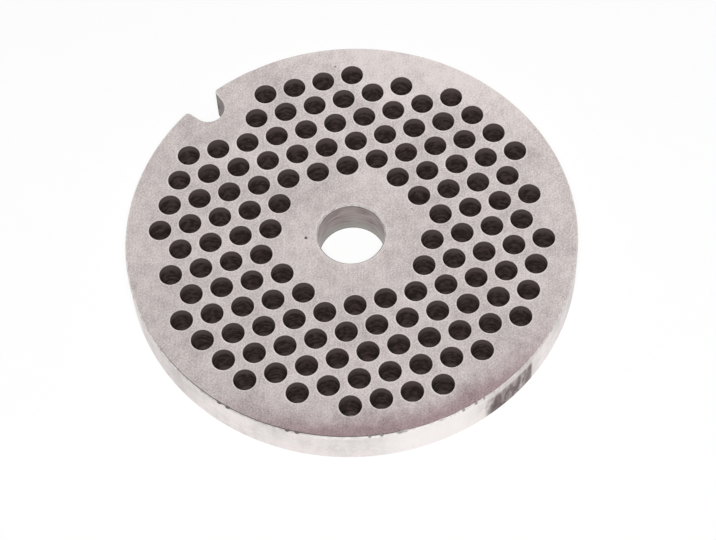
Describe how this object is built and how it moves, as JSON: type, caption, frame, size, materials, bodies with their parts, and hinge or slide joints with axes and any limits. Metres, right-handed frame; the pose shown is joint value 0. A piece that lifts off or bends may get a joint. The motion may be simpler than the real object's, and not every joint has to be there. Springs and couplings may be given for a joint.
{
  "type": "meat grinder plate",
  "caption": "Round flat steel plate with a hub bore, a triangular field of straight mincing holes and one rounded locating notch in its rim.",
  "frame": {"origin": "on the hub bore's axis, in the plane of the underside", "axes": "+Z along the bore's axis, up from the underside; +Y from the axis to the notch in the rim"},
  "size_m": [0.054, 0.0539, 0.0052],
  "materials": {
    "ground_steel": "ground flat, fine satin grain, with darker drilled holes and light stains near the rim"
  },
  "bodies": {
    "root": {"grinder_plate": "ground_steel"}
  },
  "joints": []
}
